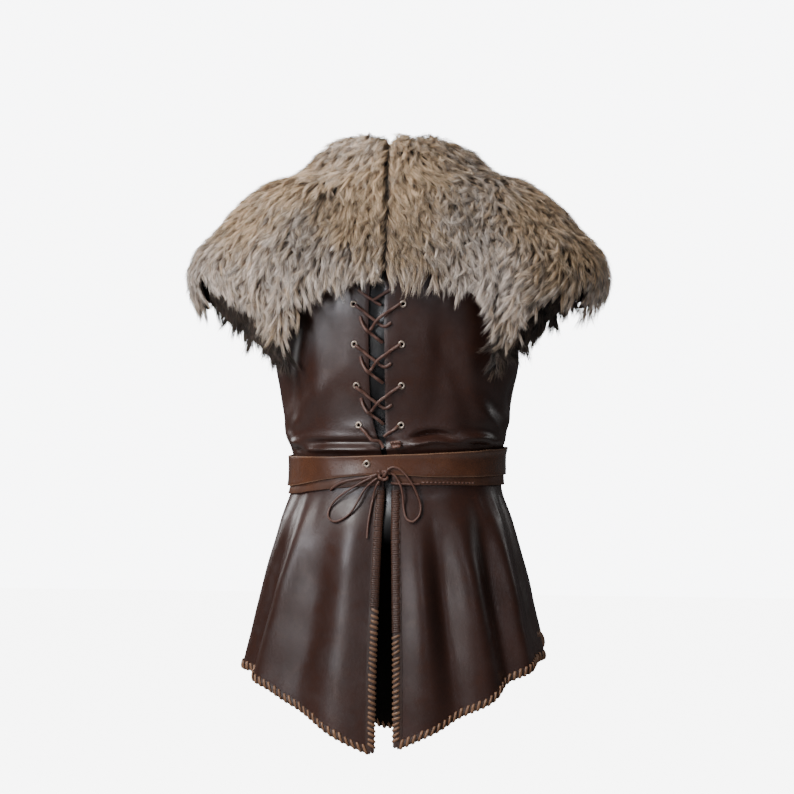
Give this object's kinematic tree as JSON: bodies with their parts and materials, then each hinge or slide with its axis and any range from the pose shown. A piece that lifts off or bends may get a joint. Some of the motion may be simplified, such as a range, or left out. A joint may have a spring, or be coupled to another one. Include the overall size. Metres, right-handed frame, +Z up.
{
  "type": "leather tunic with fur mantle",
  "caption": "Sleeveless leather tunic worn hollow, laced down the back, with a fur mantle, a cord-tied belt and a split skirt with laced edges",
  "frame": {"origin": "the mount shoulders: the middle of the neck opening, level with the leather where it rests on the wearer's shoulders", "axes": "+Z up along the garment, +Y the way the wearer faces, +X to the wearer's right"},
  "size_m": [0.7006, 0.3301, 0.9997],
  "materials": {
    "leather": "oiled dark brown leather, semi-gloss",
    "belt": "red-brown belt leather, polished",
    "waistband": "brown leather, semi-gloss",
    "placket": "black leather, glossy",
    "stitching": "tan leather lacing, matt",
    "fur": "long pale brown and grey fur",
    "dark_fur": "short dark brown fur",
    "eyelet": "aged nickel",
    "lace": "brown leather cord, satin"
  },
  "bodies": {
    "root": {"bodice_back_left": "leather", "bodice_back_right": "leather", "bodice_front": "leather", "skirt_back_left": "leather", "skirt_back_right": "leather", "skirt_front": "leather", "belt": "belt", "waistband_left": "waistband", "waistband_right": "waistband", "back_placket": "placket", "hem_edge_left": "stitching", "hem_edge_right": "stitching", "split_edge_left": "stitching", "split_edge_right": "stitching", "mantle_back_left": "fur", "mantle_back_right": "fur", "mantle_front_left": "fur", "mantle_front_right": "fur", "armhole_fur_left": "dark_fur", "armhole_fur_right": "dark_fur", "belt_eyelet": "eyelet", "eyelet_left_1": "eyelet", "eyelet_left_2": "eyelet", "eyelet_left_3": "eyelet", "eyelet_left_4": "eyelet", "eyelet_right_1": "eyelet", "eyelet_right_2": "eyelet", "eyelet_right_3": "eyelet", "eyelet_right_4": "eyelet", "lace_top_left": "lace", "lace_top_right": "lace", "lace_end": "lace", "lace_last_under_4": "lace", "lace_last_over_4": "lace", "lace_under_1": "lace", "lace_under_2": "lace", "lace_under_3": "lace", "lace_over_1": "lace", "lace_over_2": "lace", "lace_over_3": "lace", "lace_loose_1": "lace", "lace_loose_2": "lace", "lace_loose_3": "lace", "bow_knot": "lace", "bow_loop_left": "lace", "bow_loop_right": "lace", "bow_tail": "lace"}
  },
  "joints": []
}
